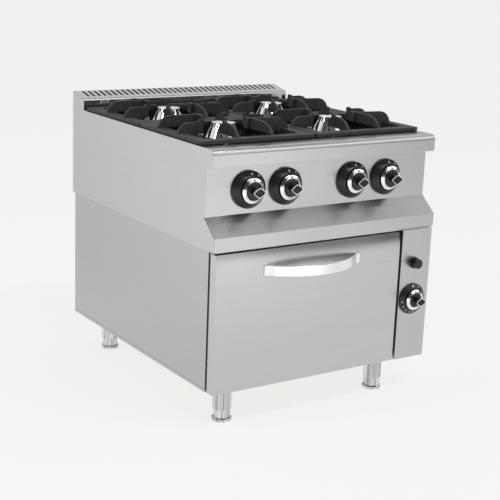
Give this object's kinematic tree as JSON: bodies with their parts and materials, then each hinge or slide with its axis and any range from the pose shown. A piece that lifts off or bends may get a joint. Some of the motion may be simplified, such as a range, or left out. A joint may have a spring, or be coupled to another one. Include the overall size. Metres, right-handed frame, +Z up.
{
  "type": "gas range",
  "caption": "Free-standing stainless steel gas range with open burners under cast pan supports, over a static gas oven with a drop-down door and a control column.",
  "frame": {"origin": "on the floor, at the middle of the overall footprint", "axes": "+X to the right seen from the front, +Y from front to back, +Z up"},
  "size_m": [0.8, 0.996, 0.86],
  "materials": {
    "stainless": "fine brushed",
    "plated_steel": "zinc plated",
    "oven_steel": "mill finish",
    "mineral_wool": "fibre board",
    "gasket": "matt",
    "wire": "plated wire",
    "enamel": "black enamel",
    "brass": "turned",
    "copper": "drawn tube",
    "cast_iron": "matt cast",
    "polished": "polished",
    "black_plastic": "gloss",
    "screw_steel": "turned"
  },
  "bodies": {
    "range_body": {"base_frame": "plated_steel", "leg_tubes": "stainless", "lower_side_left": "stainless", "lower_side_right": "stainless", "back_panel": "stainless", "control_column": "stainless", "oven_front_frame": "stainless", "oven_cavity": "oven_steel", "oven_insulation": "mineral_wool", "oven_sole_plate": "oven_steel", "oven_burner": "oven_steel", "shelf_guides": "wire", "hob_side_left": "stainless", "hob_side_right": "stainless", "control_panel": "stainless", "worktop": "stainless", "burner_wells": "enamel", "flue_cover": "stainless", "flue_duct": "oven_steel", "gas_inlet": "plated_steel", "gas_manifold": "plated_steel", "gas_valves": "brass", "burner_pipes": "copper", "burner_bodies": "cast_iron", "pilot_burners": "plated_steel", "igniter_body": "black_plastic", "knob_bezels": "black_plastic", "hinge_brackets": "plated_steel", "panel_screws": "screw_steel"},
    "door": {"door_shell": "stainless", "door_liner": "oven_steel", "door_insulation": "mineral_wool", "door_gasket": "gasket", "door_handle": "stainless", "handle_screws": "screw_steel", "hinge_arms": "plated_steel"},
    "shelf": {"oven_shelf": "wire"},
    "pan_support_1": {"pan_support_1": "cast_iron"},
    "pan_support_2": {"pan_support_2": "cast_iron"},
    "pan_support_3": {"pan_support_3": "cast_iron"},
    "pan_support_4": {"pan_support_4": "cast_iron"},
    "burner_crown_1": {"burner_crown_1": "polished"},
    "burner_crown_2": {"burner_crown_2": "polished"},
    "burner_crown_3": {"burner_crown_3": "polished"},
    "burner_crown_4": {"burner_crown_4": "polished"},
    "spindle_1": {"spindle_1": "brass"},
    "knob_1": {"knob_1": "black_plastic"},
    "spindle_2": {"spindle_2": "brass"},
    "knob_2": {"knob_2": "black_plastic"},
    "spindle_3": {"spindle_3": "brass"},
    "knob_3": {"knob_3": "black_plastic"},
    "spindle_4": {"spindle_4": "brass"},
    "knob_4": {"knob_4": "black_plastic"},
    "oven_spindle": {"oven_spindle": "brass"},
    "oven_knob": {"oven_knob": "black_plastic"},
    "igniter_button": {"igniter_button": "black_plastic"},
    "foot_1": {"foot_1": "stainless"},
    "foot_2": {"foot_2": "stainless"},
    "foot_3": {"foot_3": "stainless"},
    "foot_4": {"foot_4": "stainless"}
  },
  "joints": [
    {"name": "door_hinge", "type": "hinge", "parent": "range_body", "child": "door", "pos_m": [-0.0675, -0.406, 0.118], "axis": [1, 0, 0], "range_deg": [0, 90], "stiffness_Nm_per_rad": 12, "springref_deg": -17.19},
    {"name": "shelf_slide", "type": "slide", "parent": "range_body", "child": "shelf", "axis": [0, -1, 0], "range_m": [0, 0.03]},
    {"name": "pan_support_lift_1", "type": "slide", "parent": "range_body", "child": "pan_support_1", "axis": [0, 0, 1], "range_m": [0, 0.06]},
    {"name": "pan_support_lift_2", "type": "slide", "parent": "range_body", "child": "pan_support_2", "axis": [0, 0, 1], "range_m": [0, 0.06]},
    {"name": "pan_support_lift_3", "type": "slide", "parent": "range_body", "child": "pan_support_3", "axis": [0, 0, 1], "range_m": [0, 0.06]},
    {"name": "pan_support_lift_4", "type": "slide", "parent": "range_body", "child": "pan_support_4", "axis": [0, 0, 1], "range_m": [0, 0.06]},
    {"name": "burner_crown_lift_1", "type": "slide", "parent": "range_body", "child": "burner_crown_1", "axis": [0, 0, 1], "range_m": [0, 0.06]},
    {"name": "burner_crown_lift_2", "type": "slide", "parent": "range_body", "child": "burner_crown_2", "axis": [0, 0, 1], "range_m": [0, 0.06]},
    {"name": "burner_crown_lift_3", "type": "slide", "parent": "range_body", "child": "burner_crown_3", "axis": [0, 0, 1], "range_m": [0, 0.06]},
    {"name": "burner_crown_lift_4", "type": "slide", "parent": "range_body", "child": "burner_crown_4", "axis": [0, 0, 1], "range_m": [0, 0.06]},
    {"name": "spindle_1_turn", "type": "hinge", "parent": "range_body", "child": "spindle_1", "pos_m": [-0.25775, -0.364, 0.682], "axis": [0, -1, 0], "range_deg": [0, 210]},
    {"name": "knob_1_push", "type": "slide", "parent": "spindle_1", "child": "knob_1", "axis": [0, 1, 0], "range_m": [0, 0.0035], "stiffness_N_per_m": 600},
    {"name": "spindle_2_turn", "type": "hinge", "parent": "range_body", "child": "spindle_2", "pos_m": [-0.13025, -0.364, 0.682], "axis": [0, -1, 0], "range_deg": [0, 210]},
    {"name": "knob_2_push", "type": "slide", "parent": "spindle_2", "child": "knob_2", "axis": [0, 1, 0], "range_m": [0, 0.0035], "stiffness_N_per_m": 600},
    {"name": "spindle_3_turn", "type": "hinge", "parent": "range_body", "child": "spindle_3", "pos_m": [0.11175, -0.364, 0.682], "axis": [0, -1, 0], "range_deg": [0, 210]},
    {"name": "knob_3_push", "type": "slide", "parent": "spindle_3", "child": "knob_3", "axis": [0, 1, 0], "range_m": [0, 0.0035], "stiffness_N_per_m": 600},
    {"name": "spindle_4_turn", "type": "hinge", "parent": "range_body", "child": "spindle_4", "pos_m": [0.23925, -0.364, 0.682], "axis": [0, -1, 0], "range_deg": [0, 210]},
    {"name": "knob_4_push", "type": "slide", "parent": "spindle_4", "child": "knob_4", "axis": [0, 1, 0], "range_m": [0, 0.0035], "stiffness_N_per_m": 600},
    {"name": "oven_spindle_turn", "type": "hinge", "parent": "range_body", "child": "oven_spindle", "pos_m": [0.3225, -0.432, 0.302], "axis": [0, -1, 0], "range_deg": [0, 270]},
    {"name": "oven_knob_push", "type": "slide", "parent": "oven_spindle", "child": "oven_knob", "axis": [0, 1, 0], "range_m": [0, 0.0035], "stiffness_N_per_m": 600},
    {"name": "igniter_push", "type": "slide", "parent": "range_body", "child": "igniter_button", "axis": [0, 1, 0], "range_m": [0, 0.004], "stiffness_N_per_m": 800},
    {"name": "foot_screw_1", "type": "slide", "parent": "range_body", "child": "foot_1", "axis": [0, 0, -1], "range_m": [0, 0.02]},
    {"name": "foot_screw_2", "type": "slide", "parent": "range_body", "child": "foot_2", "axis": [0, 0, -1], "range_m": [0, 0.02]},
    {"name": "foot_screw_3", "type": "slide", "parent": "range_body", "child": "foot_3", "axis": [0, 0, -1], "range_m": [0, 0.02]},
    {"name": "foot_screw_4", "type": "slide", "parent": "range_body", "child": "foot_4", "axis": [0, 0, -1], "range_m": [0, 0.02]}
  ]
}
